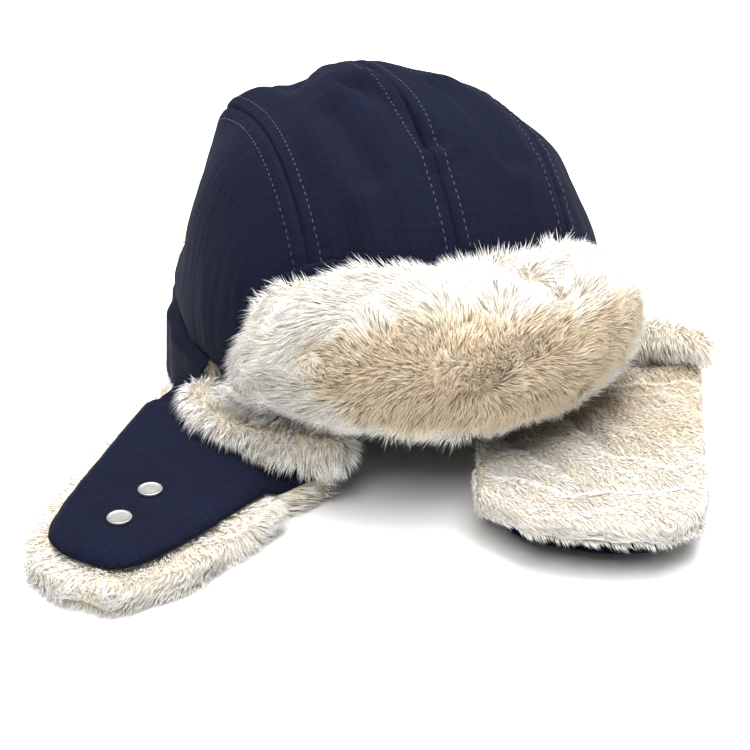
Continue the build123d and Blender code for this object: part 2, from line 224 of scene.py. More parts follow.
def woven_cloth(name, dark, light, pitch, line_strength, sheen):
    """Plain woven cotton with a ripstop grid of the given pitch, on the piece's cloth map."""
    n = Nodes(name)
    place = n.add("ShaderNodeUVMap", uv_map="cloth").outputs["UV"]
    parts = n.add("ShaderNodeSeparateXYZ", {0: place})
    lines = []
    line_width = 0.15  # share of the pitch
    for axis in (0, 1):
        phase = n.math("FRACT", n.math("MULTIPLY", parts.outputs[axis], 1 / pitch))
        away = n.math("ABSOLUTE", n.math("SUBTRACT", phase, 0.5))
        lines.append(n.math("LESS_THAN", away, line_width / 2))
    grid = n.math("MAXIMUM", lines[0], lines[1])
    where = n.add("ShaderNodeTexCoord").outputs["Object"]
    slub = n.noise(n.add("ShaderNodeMapping", {0: place, 3: (900, 2600, 1)}).outputs[0], 1.0, 2.0)
    weft = n.noise(n.add("ShaderNodeMapping", {0: place, 3: (2600, 900, 1)}).outputs[0], 1.0, 2.0)
    yarn = n.math("MULTIPLY", n.math("ADD", slub, weft), 0.5)
    cloudy = n.noise(where, 38.0, 4.0)
    tone = n.math("ADD", n.math("MULTIPLY", yarn, 0.75), n.math("MULTIPLY", cloudy, 0.3))
    tone = n.math("SUBTRACT", tone, n.math("MULTIPLY", grid, line_strength))
    colour = n.ramp(tone, [(0.28, dark), (0.72, light)])
    height = n.math("ADD", yarn, n.math("MULTIPLY", grid, -0.6))
    normal = n.bump(height, 0.55, 0.25 * MM)
    rough = n.math("ADD", n.math("MULTIPLY", cloudy, 0.2), 0.78)
    return n.finish(Base_Color=colour, Roughness=rough, Normal=normal, Specular_IOR_Level=0.09,
                    Sheen_Weight=sheen, Sheen_Roughness=0.45, Sheen_Tint=(0.35, 0.42, 0.75, 1))


def fur_backing(name, dark, light):
    """The short dense under-fur that shows between the strands."""
    n = Nodes(name)
    where = n.add("ShaderNodeTexCoord").outputs["Object"]
    patches = n.noise(where, 45.0, 4.0)
    fibres = n.noise(n.add("ShaderNodeMapping", {0: where, 3: (700, 700, 2100)}).outputs[0], 1.0, 3.0)
    tone = n.math("ADD", n.math("MULTIPLY", patches, 0.6), n.math("MULTIPLY", fibres, 0.4))
    colour = n.ramp(tone, [(0.3, dark), (0.68, light)])
    normal = n.bump(fibres, 0.7, 0.8 * MM)
    return n.finish(Base_Color=colour, Roughness=0.9, Normal=normal, Specular_IOR_Level=0.1,
                    Sheen_Weight=0.3)


def fur_shade(name, colour):
    """One shade of fibre. The pile mixes several, strand by strand and from root to tip."""
    n = Nodes(name)
    return n.finish(Base_Color=(*colour, 1), Roughness=0.62, Specular_IOR_Level=0.22,
                    Sheen_Weight=0.25, Sheen_Roughness=0.4)


def snap_steel(name):
    """Satin plated metal with fine scuffs and smears."""
    n = Nodes(name)
    where = n.add("ShaderNodeTexCoord").outputs["Object"]
    scuffs = n.noise(where, 900.0, 5.0, 0.7)
    smears = n.noise(where, 220.0, 2.0)
    colour = n.ramp(smears, [(0.3, (0.34, 0.335, 0.33)), (0.7, (0.46, 0.455, 0.45))])
    rough = n.math("ADD", n.math("MULTIPLY", scuffs, 0.25), 0.34)
    return n.finish(Base_Color=colour, Metallic=0.85, Roughness=rough,
                    Normal=n.bump(scuffs, 0.15, 0.05 * MM))


def thread(name, colour):
    """Twisted sewing thread."""
    n = Nodes(name)
    where = n.add("ShaderNodeTexCoord").outputs["Object"]
    twist = n.noise(where, 2400.0, 1.0)
    lighter = tuple(1.8 * c for c in colour)
    return n.finish(Base_Color=n.ramp(twist, [(0.35, colour), (0.7, lighter)]), Roughness=0.6,
                    Sheen_Weight=0.2)


navy = woven_cloth("navy_ripstop", (0.0014, 0.0021, 0.0070), (0.0082, 0.0108, 0.0285),
                   4.2 * MM, 0.08, 0.015)
quilting = woven_cloth("black_quilted_lining", (0.012, 0.012, 0.014), (0.030, 0.031, 0.036),
                       2.5 * MM, 0.04, 0.25)
twill = woven_cloth("black_sweatband_twill", (0.010, 0.010, 0.012), (0.033, 0.033, 0.038),
                    1.3 * MM, 0.22, 0.15)
navy_thread = thread("navy_thread", (0.009, 0.012, 0.030))
steel = snap_steel("satin_snap_metal")
backing = fur_backing("cream_fur_backing", (0.62, 0.49, 0.34), (0.90, 0.83, 0.70))
SHADES = [
    fur_shade("fur_root_tan", (0.72, 0.57, 0.40)),
    fur_shade("fur_tan", (0.80, 0.67, 0.49)),
    fur_shade("fur_light_tan", (0.88, 0.78, 0.62)),
    fur_shade("fur_cream", (0.94, 0.88, 0.76)),
    fur_shade("fur_ivory", (0.97, 0.94, 0.87)),
    fur_shade("fur_white", (0.985, 0.975, 0.945)),
]
ROOT, TAN = 0, 1  # the darkest shade, and the darkest that a strand's tip has


# ---- the crown's shape ----------------------------------------------------------------------
def dome_radius(t, inset=0.0):
    """Half depth of the dome at parameter t, 0 at the rim and 1 at the top."""
    s = 1 - t
    return (HALF_DEPTH - inset) * (s**3 + 3 * s * s * t + 3 * TOP_FULLNESS * s * t * t)


def dome_height(t, inset=0.0):
    s = 1 - t
    share = 3 * SIDE_FULLNESS * s * s * t + 3 * s * t * t + t**3
    return RIM_Z + (TOP_Z - inset - RIM_Z) * share


def dome_point(angle, t, inset=0.0):
    """A point of the dome; angle 0 is the front and a positive angle is towards +X."""
    radius = dome_radius(t, inset)
    x = SQUASH * radius * np.sin(angle)
    return np.stack([x, -radius * np.cos(angle), dome_height(t, inset) + 0 * x], -1)


def dome_normals(points):
    """Outward directions of the dome at points near it."""
    flat = points * np.array([1 / SQUASH, 1, 1])
    radius = np.hypot(flat[..., 0], flat[..., 1])
    levels = np.linspace(0, 1, 400)
    heights = dome_height(levels)
    t = np.interp(points[..., 2], heights, levels)
    delta = 0.004
    low, high = np.clip(t - delta, 0, 1), np.clip(t + delta, 0, 1)
    fall = dome_radius(high) - dome_radius(low)
    rise = np.maximum(dome_height(high) - dome_height(low), 1e-9)
    sine = flat[..., 0] / np.maximum(radius, 1e-9)
    cosine = -flat[..., 1] / np.maximum(radius, 1e-9)
    across = np.minimum(radius / 0.004, 1)
    return unit(np.stack([sine * rise * across, -SQUASH * cosine * rise * across, -SQUASH * fall], -1))


def by_arc(points, spacings):
    """Points moved along each line of the first axis, to the given shares of its arc length."""
    lengths = np.linalg.norm(np.diff(points, axis=0), axis=2)
    result = np.empty((len(spacings), points.shape[1], 3))
    for column in range(points.shape[1]):
        run = np.concatenate([[0], np.cumsum(lengths[:, column])])
        for axis in range(3):
            result[:, column, axis] = np.interp(spacings * run[-1], run, points[:, column, axis])
    return result


def fine_at_ends(count, ends):
    """Shares from 0 to 1 that crowd towards the ends, by a factor of ends."""
    even = np.linspace(0, 1, count)
    return even - ends * np.sin(2 * pi * even) / (2 * pi)


def middle_panel(side, inset):
    """Points of a middle panel: one column for each x, from the front rim to the back rim."""
    columns = []
    levels = np.linspace(0, 1, 900)
    for x in SEAM_X * fine_at_ends(64, 0.72):
        last = np.interp(-x / SQUASH, -dome_radius(levels, inset), levels)
        t = np.linspace(0, last, 260)
        radius = dome_radius(t, inset)
        depth = np.sqrt(np.maximum(radius**2 - (x / SQUASH) ** 2, 0))
        half = np.stack([np.full_like(t, side * x), -depth, dome_height(t, inset)], -1)
        columns.append(np.concatenate([half, (half * (1, -1, 1))[-2::-1]]))
    return by_arc(np.stack(columns, 1), np.linspace(0, 1, 270))


def side_panel(side, inset):
    """Points of a side panel: one column for each angle, from the rim up to the side seam."""
    first = np.arcsin(SEAM_X / (HALF_WIDTH - inset * SQUASH)) + 0.002
    angles = first + (pi - 2 * first) * fine_at_ends(190, 0.5)
    levels = np.linspace(0, 1, 900)
    columns = []
    for angle in angles:
        seam_radius = SEAM_X / (SQUASH * np.sin(angle))
        last = np.interp(-seam_radius, -dome_radius(levels, inset), levels)
        columns.append(dome_point(side * angle, np.linspace(0, last, 200), inset))
    return by_arc(np.stack(columns, 1), fine_at_ends(84, 0.6))


def felled_seam(distance):
    """The section of a seam with a raised, stitched-down allowance on both sides."""
    raised = 0.55 * MM * (1 - step(np.abs(distance), 5.2 * MM, 6.6 * MM))
    crease = -1.15 * MM * bell(distance, 0.8 * MM)
    rows = -0.45 * MM * bell(np.abs(distance) - 5.0 * MM, 0.8 * MM)
    pull = -1.3 * MM * bell(distance, 13 * MM)
    return raised + crease + rows + pull


def crown_offset(points):
    """How far the crown's cloth stands off the plain dome: seams, puckers, creases and sag."""
    x, y, z = points.T
    seams = np.minimum(np.abs(np.abs(x) - SEAM_X), np.abs(x))
    signed = np.where(np.abs(x) < SEAM_X / 2, np.abs(x), np.abs(x) - SEAM_X)
    offset = felled_seam(signed) + 1.0 * MM
    along = points * (0.25, 1, 1)
    offset += 0.28 * MM * bell(seams - 4 * MM, 5 * MM) * ripple(along, 7 * MM, 11)
    offset += 0.9 * MM * ripple(points, 60 * MM, 12) * step(seams, 4 * MM, 25 * MM)
    side = step(np.abs(x), SEAM_X + 8 * MM, SEAM_X + 26 * MM)
    angle = np.arctan2(x, -y)
    strips = np.stack([angle * 0.1, 0.16 * z + 0.03 * angle, 0.1 * z], -1)
    uneven = 0.55 + 0.45 * ripple(points, 45 * MM, 17)
    offset += side * uneven * 0.42 * MM * ripple(strips, 10 * MM, 13)
    offset += side * uneven * 0.34 * MM * ripple(strips, 4.5 * MM, 14)
    middle = 1 - side
    folds = points * (1, 0.28, 0.28)
    offset += middle * 0.85 * MM * ripple(folds, 15 * MM, 15) * step(seams, 5 * MM, 20 * MM)
    return offset - 1.3 * MM * bell(z - RIM_Z, 5 * MM)


FOLD_HEADING = np.array([sin(radians(17)), cos(radians(17)), 0])
# Where the crown slumps: (place, reach across the fold, reach along it, height), in mm.
CROWN_SLUMPS = [
    ((-52, 51, 112), 17, 17, 5.5),
    ((-27, 54, 126), 9, 50, -8.0),
    ((34, 33, 130), 20, 28, -4.2),
    ((62, 4, 117), 16, 26, -2.6),
    ((-76, 42, 84), 22, 28, -4.0),
    ((-85, 34, 63), 13, 26, -3.0),
    ((76, -28, 92), 17, 26, -2.0),
]
# Creases in the crown's cloth: (one end, other end, depth, width), in mm.
CROWN_CREASES = [
    ((-14, 4, 137), (1, -52, 128), 4.2, 5.0),
    ((-30, -20, 134), (-26, -62, 122), 2.2, 6.0),
    ((22, -6, 136), (34, -58, 121), 2.4, 6.0),
]


def shaped_crown(points):
    """The crown's slumped shape: long shallow folds that run back from the front, and creases."""
    normals = dome_normals(points)
    lift = np.zeros(len(points))
    for place, across, along, height in CROWN_SLUMPS:
        gap = points - np.array(place) * MM
        run = gap @ FOLD_HEADING
        side = np.linalg.norm(gap - run[:, None] * FOLD_HEADING, axis=1)
        lift += height * MM * np.exp(-((side / (across * MM)) ** 2) - (run / (along * MM)) ** 2)
    for start, end, depth, width in CROWN_CREASES:
        start, end = np.array(start) * MM, np.array(end) * MM
        share = np.clip((points - start) @ (end - start) / ((end - start) @ (end - start)), 0, 1)
        gap = np.linalg.norm(points - start - share[:, None] * (end - start), axis=1)
        lift += MM * (0.45 * depth * bell(gap - 2 * width * MM, width * MM) - depth * bell(gap, width * MM))
    keep = step(points[:, 2], RIM_Z, RIM_Z + 25 * MM)
    return points + normals * (lift * keep)[:, None]


def dome_panel(name, grid, offset, materials, depth):
    """A cloth panel from a grid of points on the dome, pushed outwards by offset(points)."""
    rows, columns = grid.shape[:2]
    points = grid.reshape(-1, 3)
    normals = dome_normals(points)
    moved = points + normals * offset(points)[:, None]
    moved = shaped_crown(moved)
    index = np.arange(rows * columns).reshape(rows, columns)
    quads = np.stack([index[:-1, :-1], index[1:, :-1], index[1:, 1:], index[:-1, 1:]], -1).reshape(-1, 4)
    middle = len(quads) // 2
    corner = moved[quads[middle]]
    facing = np.cross(corner[1] - corner[0], corner[3] - corner[0]) @ normals[quads[middle][0]]
    if facing < 0:
        quads = quads[:, ::-1]
    piece = make_object(name, moved, quads, materials)
    steps_across = np.linalg.norm(np.diff(grid, axis=1), axis=2)
    steps_along = np.linalg.norm(np.diff(grid, axis=0), axis=2)
    across = np.concatenate([np.zeros((rows, 1)), np.cumsum(steps_across, 1)], 1)
    along = np.concatenate([np.zeros((1, columns)), np.cumsum(steps_along, 0)])
    set_cloth_map(piece, across.ravel(), along.ravel())
    return thicken(piece, depth)


def node_arrays(names):
    """Points and triangles of CAD nodes, joined."""
    points, triangles, start = [], [], 0
    for name in names:
        mesh = frame["nodes"][name].data
        part = np.empty(len(mesh.vertices) * 3, np.float32)
        mesh.vertices.foreach_get("co", part)
        mesh.calc_loop_triangles()
        faces = np.empty(len(mesh.loop_triangles) * 3, np.int32)
        mesh.loop_triangles.foreach_get("vertices", faces)
        points.append(part.reshape(-1, 3))
        triangles.append(faces.reshape(-1, 3) + start)
        start += len(mesh.vertices)
    return np.concatenate(points).astype(float), np.concatenate(triangles)


def cut_area(*nodes):
    """The area of cloth that CAD layers are cut from: half of their surface."""
    points, triangles = node_arrays(nodes)
    corners = points[triangles]
    crossed = np.cross(corners[:, 1] - corners[:, 0], corners[:, 2] - corners[:, 0])
    return np.linalg.norm(crossed, axis=1).sum() / 4


def declare_panel(piece, nodes, body):
    """Hides a sewn panel's CAD layers and attaches the piece to its body. The cut area of its first layer,
    the plain dome's panel before any slump or pucker, is worked out but not used.
    """
    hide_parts(*nodes)
    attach(piece, body)
    cut_area(nodes[0])


PANEL_GRIDS = {
    "side_right": (side_panel, -1),
    "middle_right": (middle_panel, -1),
    "middle_left": (middle_panel, 1),
    "side_left": (side_panel, 1),
}
crown_pieces = []
for place, (grid_of, side) in PANEL_GRIDS.items():
    grid = grid_of(side, 0.0)
    panel = dome_panel(f"crown_cloth_{place}", grid, crown_offset, [navy], 0.9 * MM)
    hidden = ["crown_wadding"] if place == "middle_left" else []
    declare_panel(panel, [f"crown_panel_{place}", *hidden], "crown")
    crown_pieces.append(panel)


def quilt_offset(points):
    """Quilted lining: small puffs between diagonal stitch lines."""
    x, y, z = points.T
    angle = np.arctan2(x, -y)
    around = angle * 0.08
    pitch = 24 * MM
    first = np.abs(np.sin(pi * (around + z) / pitch))
    second = np.abs(np.sin(pi * (around - z) / pitch))
    puff = np.minimum(first, second)
    return -0.2 * MM - 1.4 * MM * np.sqrt(np.maximum(puff, 0))


for place, (grid_of, side) in PANEL_GRIDS.items():
    grid = grid_of(side, LINING_INSET)
    panel = dome_panel(f"quilted_lining_{place}", grid, quilt_offset, [quilting], 0.5 * MM)
    declare_panel(panel, [f"lining_panel_{place}"], "crown")


# ---- stitches ---------------------------------------------------------------------------------
def stitch_row(name, path, normals, body, pitch=3.3 * MM, length=2.0 * MM, width=0.5 * MM):
    """Separate raised stitches along a path of points, with the surface's normals."""
    run = np.concatenate([[0], np.cumsum(np.linalg.norm(np.diff(path, axis=0), axis=1))])
    marks = np.arange(pitch, run[-1] - pitch, pitch)
    centres = np.stack([np.interp(marks, run, path[:, k]) for k in range(3)], 1)
    ahead = np.stack([np.interp(marks + pitch / 4, run, path[:, k]) for k in range(3)], 1)
    outward = unit(np.stack([np.interp(marks, run, normals[:, k]) for k in range(3)], 1))
    forward = unit(ahead - centres)
    sideways = np.cross(outward, forward)
    stations = np.array([-0.5, -0.3, 0.0, 0.3, 0.5]) * length
    girths = np.array([0.25, 0.85, 1.0, 0.85, 0.25]) * width / 2
    sides = np.arange(6) * pi / 3
    ring = np.stack([np.cos(sides), np.sin(sides)], 1)
    local = np.array([[s, g * c[0], g * c[1] * 0.7] for s, g in zip(stations, girths) for c in ring])
    points = (centres[:, None] + local[None, :, :1] * forward[:, None]
              + local[None, :, 1:2] * sideways[:, None] + local[None, :, 2:] * outward[:, None])
    quads = []
    for station in range(4):
        for k in range(6):
            a, b = 6 * station + k, 6 * station + (k + 1) % 6
            quads.append((a, b, b + 6, a + 6))
    for base, turn in ((0, -1), (24, 1)):
        corners = [base + k for k in range(6)][::turn]
        quads.append((corners[0], corners[1], corners[2], corners[3]))
        quads.append((corners[0], corners[3], corners[4], corners[5]))
    quads = np.array(quads)
    faces = (quads[None] + 30 * np.arange(len(marks))[:, None, None]).reshape(-1, 4)
    piece = make_object(name, points.reshape(-1, 3), faces, [navy_thread])
    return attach(piece, body)


def seam_path(x):
    """A line over the crown's cloth at one x, front to back, with its normals."""
    levels = np.linspace(0, 1, 900)
    last = np.interp(-abs(x) / SQUASH, -dome_radius(levels), levels)
    t = np.linspace(0.02, last, 300)
    depth = np.sqrt(np.maximum(dome_radius(t) ** 2 - (x / SQUASH) ** 2, 0))
    half = np.stack([np.full_like(t, x), -depth, dome_height(t)], -1)
    line = np.concatenate([half, (half * (1, -1, 1))[-2::-1]])
    normals = dome_normals(line)
    cloth = line + normals * (crown_offset(line) + 0.12 * MM)[:, None]
    return shaped_crown(cloth), normals


ROW_GAP = 4.6 * MM
for seam_name, seam_x in (("right", -SEAM_X), ("centre", 0.0), ("left", SEAM_X)):
    for row_name, shift in (("inner", -ROW_GAP), ("outer", ROW_GAP)):
        path, normals = seam_path(seam_x + shift)
        stitch_row(f"stitches_{seam_name}_{row_name}", path, normals, "crown")


# ---- flat cloth pieces ----------------------------------------------------------------------
def rounded(outline, rounds=3):
    """A closed outline with its corners cut, three times over, into smooth curves."""
    points = np.array(outline, float) * MM
    for _ in range(rounds):
        after = np.roll(points, -1, axis=0)
        points = np.stack([0.8 * points + 0.2 * after, 0.2 * points + 0.8 * after], 1).reshape(-1, 2)
    return points


def divided(points, pitch):
    """A closed outline with points no further apart than pitch."""
    result = []
    for start, end in zip(points, np.roll(points, -1, axis=0)):
        count = max(1, int(np.ceil(np.linalg.norm(end - start) / pitch)))
        result.extend(start + (end - start) * k / count for k in range(count))
    return np.array(result)


def edge_distance(points, outline):
    """How far each point is from a closed outline."""
    nearest = np.full(len(points), np.inf)
    for start, end in zip(outline, np.roll(outline, -1, axis=0)):
        line = end - start
        share = np.clip((points - start) @ line / max(line @ line, 1e-12), 0, 1)
        nearest = np.minimum(nearest, np.linalg.norm(points - start - share[:, None] * line, axis=1))
    return nearest


def cloth_plate(name, outline, height, place, materials, pitch=2.2 * MM, depth=0.9 * MM):
    """A piece of cloth cut to an outline, with height(flat points, edge distance), put in a frame."""
    border = divided(outline, pitch)
    low, high = border.min(0), border.max(0)
    columns = np.arange(low[0] + pitch / 2, high[0], pitch)
    rows = np.arange(low[1] + pitch / 2, high[1], pitch)
    inner = np.stack(np.meshgrid(columns, rows), -1).reshape(-1, 2)
    inner = inner[edge_distance(inner, border) > 0.6 * pitch]
    seeds = [Vector(p) for p in np.concatenate([border, inner])]
    loop = list(range(len(border)))
    flat, _, faces, _, _, _ = delaunay_2d_cdt(seeds, [], [loop], 1, 1e-7)
    flat = np.array([(p.x, p.y) for p in flat])
    triangles = np.array([f if len(f) == 3 else f[:3] for f in faces])
    away = edge_distance(flat, border)
    origin, x_way, y_way, z_way = place
    points = origin + flat[:, :1] * x_way + flat[:, 1:] * y_way + height(flat, away)[:, None] * z_way
    piece = make_object(name, points, triangles, materials)
    set_cloth_map(piece, flat[:, 0], flat[:, 1])
    return thicken(piece, depth)


def fold_frame(joint_name, sign):
    """Origin and directions of a flap: out from its fold line, along the fold, and up."""
    joint = JOINTS[joint_name]
    origin = np.array(joint["pos_m"], float)
    along = sign * np.array(joint["axis"], float)
    up = np.array([0, 0, 1.0])
    return origin, np.cross(along, up), along, up


def in_place(points, place):
    """Points as (out from the fold line, along it, up) in a flap's frame."""
    rise = points - place[0]
    return rise @ place[1], rise @ place[2], rise @ place[3]


def snap_places(node, place):
    """Where a node's two snaps stand in a flap's frame, and their radius."""
    u, v, _ = in_place(node_arrays([node])[0], place)
    outer = u > (u.min() + u.max()) / 2
    centres = [((u[one].min() + u[one].max()) / 2, (v[one].min() + v[one].max()) / 2)
               for one in (outer, ~outer)]
    return centres, (u[outer].max() - u[outer].min()) / 2


def soft_copy(name, nodes, material, voxel, rounds):
    """One rounded surface round CAD solids, by a voxel remesh and smoothing."""
    points, triangles = node_arrays(nodes)
    piece = make_object(name, points, triangles, [])
    remesh = piece.modifiers.new("remesh", "REMESH")
    remesh.mode = "VOXEL"
    remesh.voxel_size = voxel
    remesh.use_smooth_shade = True
    ease = piece.modifiers.new("ease", "SMOOTH")
    ease.factor = 0.5
    ease.iterations = rounds
    apply_modifiers(piece)
    piece.data.materials.clear()
    piece.data.materials.append(material)
    return piece


# ---- cotton of the flaps ----------------------------------------------------------------------
def hem(away, thickness):
    """How far a flap's cotton drops as it turns in at its edge."""
    return -thickness * (1 - step(away, 0, 4.5 * MM)) - 0.35 * MM * bell(away - 6 * MM, 1.0 * MM)


def right_cotton_height(flat, away):
    """The right flap's cotton: level over the flap, lower over the fold beside the crown."""
    x, y = flat.T
    place = np.stack([x, y, 0 * x], -1)
    level = 5.4 * MM + 4.1 * MM * step(x, -15 * MM, -4 * MM)
    puff = 1.7 * MM * step(away, 0, 22 * MM)
    waves = 0.7 * MM * ripple(place, 55 * MM, 31) + 0.22 * MM * ripple(place, 14 * MM, 32)
    crease = -0.9 * MM * bell((x - 8 * MM) - 0.35 * (y - 30 * MM), 3.5 * MM) * step(y, 10 * MM, 40 * MM)
    cloth = level + puff + waves + crease + hem(away, 3.2 * MM)
    for u, v in RIGHT_SNAPS:
        near = bell(np.hypot(x - u, y - v), 11 * MM)
        cloth = cloth * (1 - near) + 9.15 * MM * near
    return cloth


RIGHT_COTTON = [(-36, -33), (-34, 44), (-38, 60), (-37, 73), (-12, 72), (44, 88), (68, 86), (78, 69),
                (78, 53), (69, 40), (-10, -20)]
right_place = fold_frame("right_ear_flap_fold", -1)
RIGHT_SNAPS, CAP_RADIUS = snap_places("right_flap_snap_caps", right_place)
right_cotton = cloth_plate("right_flap_cotton", rounded(RIGHT_COTTON), right_cotton_height,
                           right_place, [navy])
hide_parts("right_flap_shell", "right_flap_wadding", "right_ear_fold_shell")
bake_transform(right_cotton)


def left_cotton_height(flat, away):
    """The left flap's cotton, which faces down; its folded edge shows at the front."""
    x, y = flat.T
    place = np.stack([x, y, 0 * x], -1)
    return -7.5 * MM + 0.25 * MM * ripple(place, 40 * MM, 33)


left_origin, left_tip, left_across, up = fold_frame("left_ear_flap_fold", 1)
left_origin = left_origin - left_across * (left_origin @ left_across)
LEFT_RISE = radians(2.5)
left_place = (left_origin, left_tip * cos(LEFT_RISE) + up * sin(LEFT_RISE), left_across,
              up * cos(LEFT_RISE) - left_tip * sin(LEFT_RISE))
LEFT_COTTON = [(-7, 56), (-7, 130), (128, 130), (141, 122), (146, 104), (143, 76), (130, 60)]
left_cotton = cloth_plate("left_flap_cotton", rounded(LEFT_COTTON), left_cotton_height,
                          left_place, [navy])
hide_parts("left_flap_shell", "left_flap_wadding")
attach(left_cotton, "left_ear_flap")


def neck_cotton_height(flat, away):
    """The neck flap's cotton, from under the band to the flap's end."""
    x, y = flat.T
    place = np.stack([x, y, 0 * x], -1)
    level = 5.9 * MM + 2.6 * MM * step(x, -15 * MM, -4 * MM)
    waves = 0.6 * MM * ripple(place, 50 * MM, 34) + 0.2 * MM * ripple(place, 14 * MM, 35)
    return level + 1.5 * MM * step(away, 0, 20 * MM) + waves + hem(away, 3.0 * MM)


NECK_COTTON = [(-18, -58), (-18, 58), (-8, 56), (30, 52), (44, 34), (44, -34), (30, -52), (-8, -56)]
neck_place = fold_frame("neck_flap_fold", -1)
neck_cotton = cloth_plate("neck_flap_cotton", rounded(NECK_COTTON), neck_cotton_height,
                          neck_place, [navy])
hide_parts("neck_flap_shell", "neck_flap_wadding", "neck_fold_shell")
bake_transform(neck_cotton)


# ---- thin cloth that follows its CAD solid ----------------------------------------------------
def thin_cloth(name, node, body, material, across, along, offset=None):
    """A cloth piece remeshed from a thin CAD solid, with a cloth map and soft ripples.

    Its cut area is worked out from the CAD layer but not used.
    """
    piece = soft_copy(name, [node], material, 0.75 * MM, 2)
    points = mesh_points(piece)
    if offset is not None:
        points = points + offset(points)
        set_points(piece, points)
    set_cloth_map(piece, across(points), along(points))
    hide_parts(node)
    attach(piece, body)
    area = cut_area(node)
    return piece


def around(points):
    return np.arctan2(points[:, 0] / SQUASH, -points[:, 1]) * 0.1


def height(points):
    return points[:, 2]


def band_ripple(points):
    """The band's soft outward bulge and ripples, growing downwards."""
    outward = unit(points * (1 / SQUASH, 1, 0))
    below = RIM_Z - points[:, 2]
    strips = np.stack([around(points), 0.3 * points[:, 2], 0 * points[:, 2]], -1)
    bulge = step(below, 0.5 * MM, 5 * MM) * (1 + 0.4 * ripple(strips, 30 * MM, 41))
    tuck = 1 - step(below, 0.2 * MM, 2.5 * MM)
    moved = outward * (3.0 * bulge - 1.6 * tuck)[:, None] * MM
    moved[:, 2] += 0.9 * MM * tuck
    return moved


band_cotton = thin_cloth("ear_neck_band_cotton", "ear_neck_band_shell", "crown", navy,
                         around, height,
                         band_ripple)
brim_cotton = thin_cloth("brim_back_cotton", "brim_shell", "brim", navy, around,
                         height)
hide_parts("brim_interlining")
fold_low, fold_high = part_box("left_ear_fold_shell")
FOLD_DRAPE_FROM = fold_high.x - 28 * MM


def left_fold_drape(points):
    """Lets the left fold's outer corner hang down behind the brim, and leaves its hinge edge alone.

    What goes down comes in by as much as keeps the cloth's length.
    """
    behind = -in_place(points, left_place)[0]
    beyond = step(behind, 4 * MM, 20 * MM) * np.maximum(points[:, 0] - FOLD_DRAPE_FROM, 0)
    moved = beyond[:, None] * np.array([-0.45, 0, -0.8])
    moved[:, 2] = np.maximum(moved[:, 2], np.minimum(LOWEST_FIBRE - points[:, 2], 0))
    return moved


left_fold_cotton = thin_cloth("left_ear_fold_cotton", "left_ear_fold_shell", "crown", navy,
                              lambda p: p[:, 0], lambda p: p[:, 1],
                              left_fold_drape)
thin_cloth("sweatband_tape", "sweatband", "crown", twill, around, height)


# ---- fur --------------------------------------------------------------------------------------
def no_shape(points):
    return 0 * points


def fur_skin(name, nodes, body, shrink=1.2 * MM, voxel=2.2 * MM, rounds=8, lumps=0.9 * MM,
             shape=no_shape):
    """The dense under-fur of a pile piece: a soft lumpy form a little inside its CAD solid."""
    piece = soft_copy(name, nodes, backing, voxel, rounds)
    points, normals = mesh_points(piece), mesh_normals(piece)
    seed = sum(map(ord, name))
    depth = lumps * ripple(points, 20 * MM, seed) - shrink
    points = points + normals * depth[:, None] + shape(points)
    points[:, 2] = np.maximum(points[:, 2], 1.0 * MM)
    set_points(piece, points)
    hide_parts(*nodes)
    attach(piece, body)
    return piece


def to_segment(u, v, start, end):
    """Distance from points (u, v) to a line between two places, in metres."""
    start, end = np.array(start) * MM, np.array(end) * MM
    line = end - start
    share = np.clip(((u - start[0]) * line[0] + (v - start[1]) * line[1]) / (line @ line), 0, 1)
    return np.hypot(u - start[0] - share * line[0], v - start[1] - share * line[1])


LEFT_CREASES = [
    ((86, 60), (122, 92), 3.0, 5.0),
    ((116, 62), (129, 88), 2.2, 5.0),
    ((66, 84), (82, 95), 2.6, 4.5),
    ((88, 90), (100, 124), 2.0, 5.0),
    ((129, 88), (119, 122), 2.4, 4.5),
    ((30, 100), (22, 136), 4.0, 4.0),
    ((40, 96), (36, 128), 2.0, 5.0),
]


def left_flap_shape(points):
    """Creases pressed into the left flap's fur side, and a fringe that curls up off the floor."""
    u, v, w = in_place(points, left_place)
    drop = 0 * u
    for start, end, deep, width in LEFT_CREASES:
        gap = to_segment(u, v, start, end)
        drop += -deep * MM * bell(gap, width * MM) + 0.5 * MM * bell(gap - 2 * width * MM, width * MM)
    drop *= step(w, 1 * MM, 6 * MM)
    border = edge_distance(np.stack([u, v], 1), rounded(LEFT_COTTON))
    outside = step(u, 100 * MM, 135 * MM) * step(6 * MM - border, 0, 6 * MM)
    fringe = np.maximum(step(u, 128 * MM, 142 * MM), outside)
    curl = fringe * np.clip(1.5 * MM - w, 0, 12 * MM) * 0.8
    return (drop + curl)[:, None] * left_place[3]


SKINS = {
    "brim_pile": (["brim_fur"], "brim", {"shrink": 3.0 * MM, "rounds": 12}),
    "band_pile": (["ear_neck_band_fur"], "crown", {"rounds": 3}),
    "right_roll_pile": (["right_temple_fur_roll"], "crown", {"rounds": 4}),
    "left_roll_pile": (["left_temple_fur_roll"], "crown", {"rounds": 4}),
    "right_fold_pile": (["right_ear_fold_fur"], "crown", {"rounds": 3, "lumps": 0.3 * MM}),
    "left_fold_pile": (["left_ear_fold_fur"], "crown",
                       {"rounds": 3, "lumps": 0.3 * MM, "shape": left_fold_drape}),
    "neck_fold_pile": (["neck_fold_fur"], "crown", {"rounds": 3, "lumps": 0.3 * MM}),
    "right_flap_pile": (["right_flap_fur"], "right_ear_flap", {"rounds": 6, "shrink": 2.2 * MM}),
    "left_flap_pile": (["left_flap_fur"], "left_ear_flap", {"shape": left_flap_shape}),
    "neck_flap_pile": (["neck_flap_fur"], "neck_flap", {"rounds": 6}),
}
skins = {}
